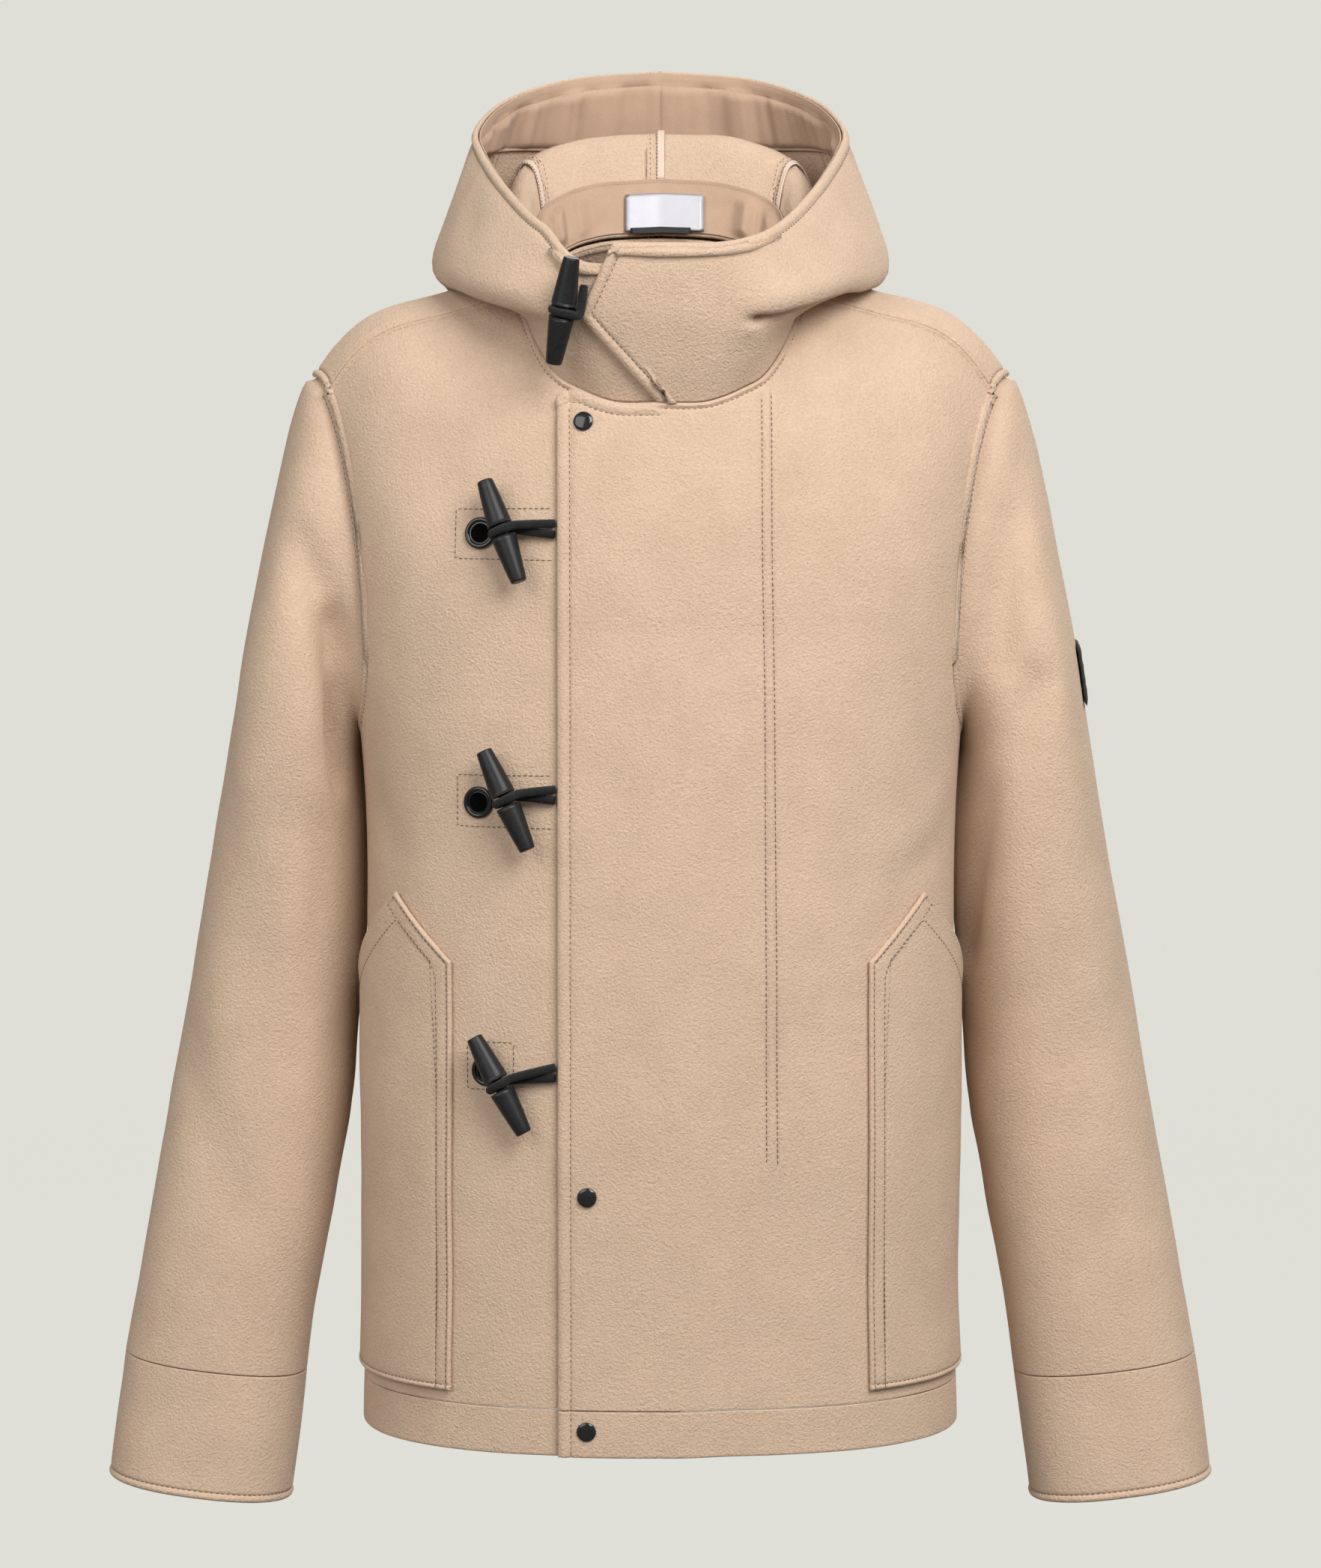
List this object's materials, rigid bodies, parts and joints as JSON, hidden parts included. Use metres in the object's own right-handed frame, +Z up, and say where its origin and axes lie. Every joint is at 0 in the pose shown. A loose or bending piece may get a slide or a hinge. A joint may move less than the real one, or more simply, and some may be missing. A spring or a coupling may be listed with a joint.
{
  "type": "hooded wool parka",
  "caption": "Hip-length hooded parka in thick felted wool, filled out with nobody in it: stand collar, lowered hood, storm flap with toggles on cord loops, patch pockets.",
  "frame": {"origin": "between the shoulders, at mid depth and level with the upper shoulder line, where the wearer holds the garment up", "axes": "+Z up; -Y is the front; +X is the wearer's left"},
  "size_m": [0.698, 0.3023, 0.9024],
  "materials": {
    "felted_wool": "thick felted wool, matt, with a short nap",
    "smooth_facing": "smooth knitted facing, matt",
    "seam_tape": "pale smooth tape over the hood's seams",
    "label_white": "blank woven label, slight sheen",
    "dark_tape": "plain black woven cloth",
    "satin_black": "satin black",
    "braided_cord": "coarse black braid",
    "black_metal": "black lacquered metal, glossy",
    "gloss_black": "glossy black"
  },
  "bodies": {
    "root": {"back": "felted_wool", "cord_chest": "braided_cord", "cord_collar": "braided_cord", "cord_hip": "braided_cord", "cord_waist": "braided_cord", "cuff_left": "felted_wool", "cuff_right": "felted_wool", "eyelet_chest": "black_metal", "eyelet_hip": "black_metal", "eyelet_waist": "black_metal", "front_left": "felted_wool", "front_right": "felted_wool", "hem_band_back": "felted_wool", "hem_band_left": "felted_wool", "hem_band_right": "felted_wool", "hood_back_left": "felted_wool", "hood_back_right": "felted_wool", "hood_rim_facing": "smooth_facing", "hood_side_left": "felted_wool", "hood_side_right": "felted_wool", "hood_tape_left": "seam_tape", "hood_tape_middle": "seam_tape", "hood_tape_right": "seam_tape", "neck_facing": "smooth_facing", "neck_label": "label_white", "neck_tab": "dark_tape", "pocket_left": "felted_wool", "pocket_right": "felted_wool", "sleeve_left": "felted_wool", "sleeve_patch": "dark_tape", "sleeve_right": "felted_wool", "snap_hem": "gloss_black", "snap_low": "gloss_black", "snap_top": "gloss_black", "toggle_chest": "satin_black", "toggle_collar": "satin_black", "toggle_hip": "satin_black", "toggle_waist": "satin_black"}
  },
  "joints": []
}
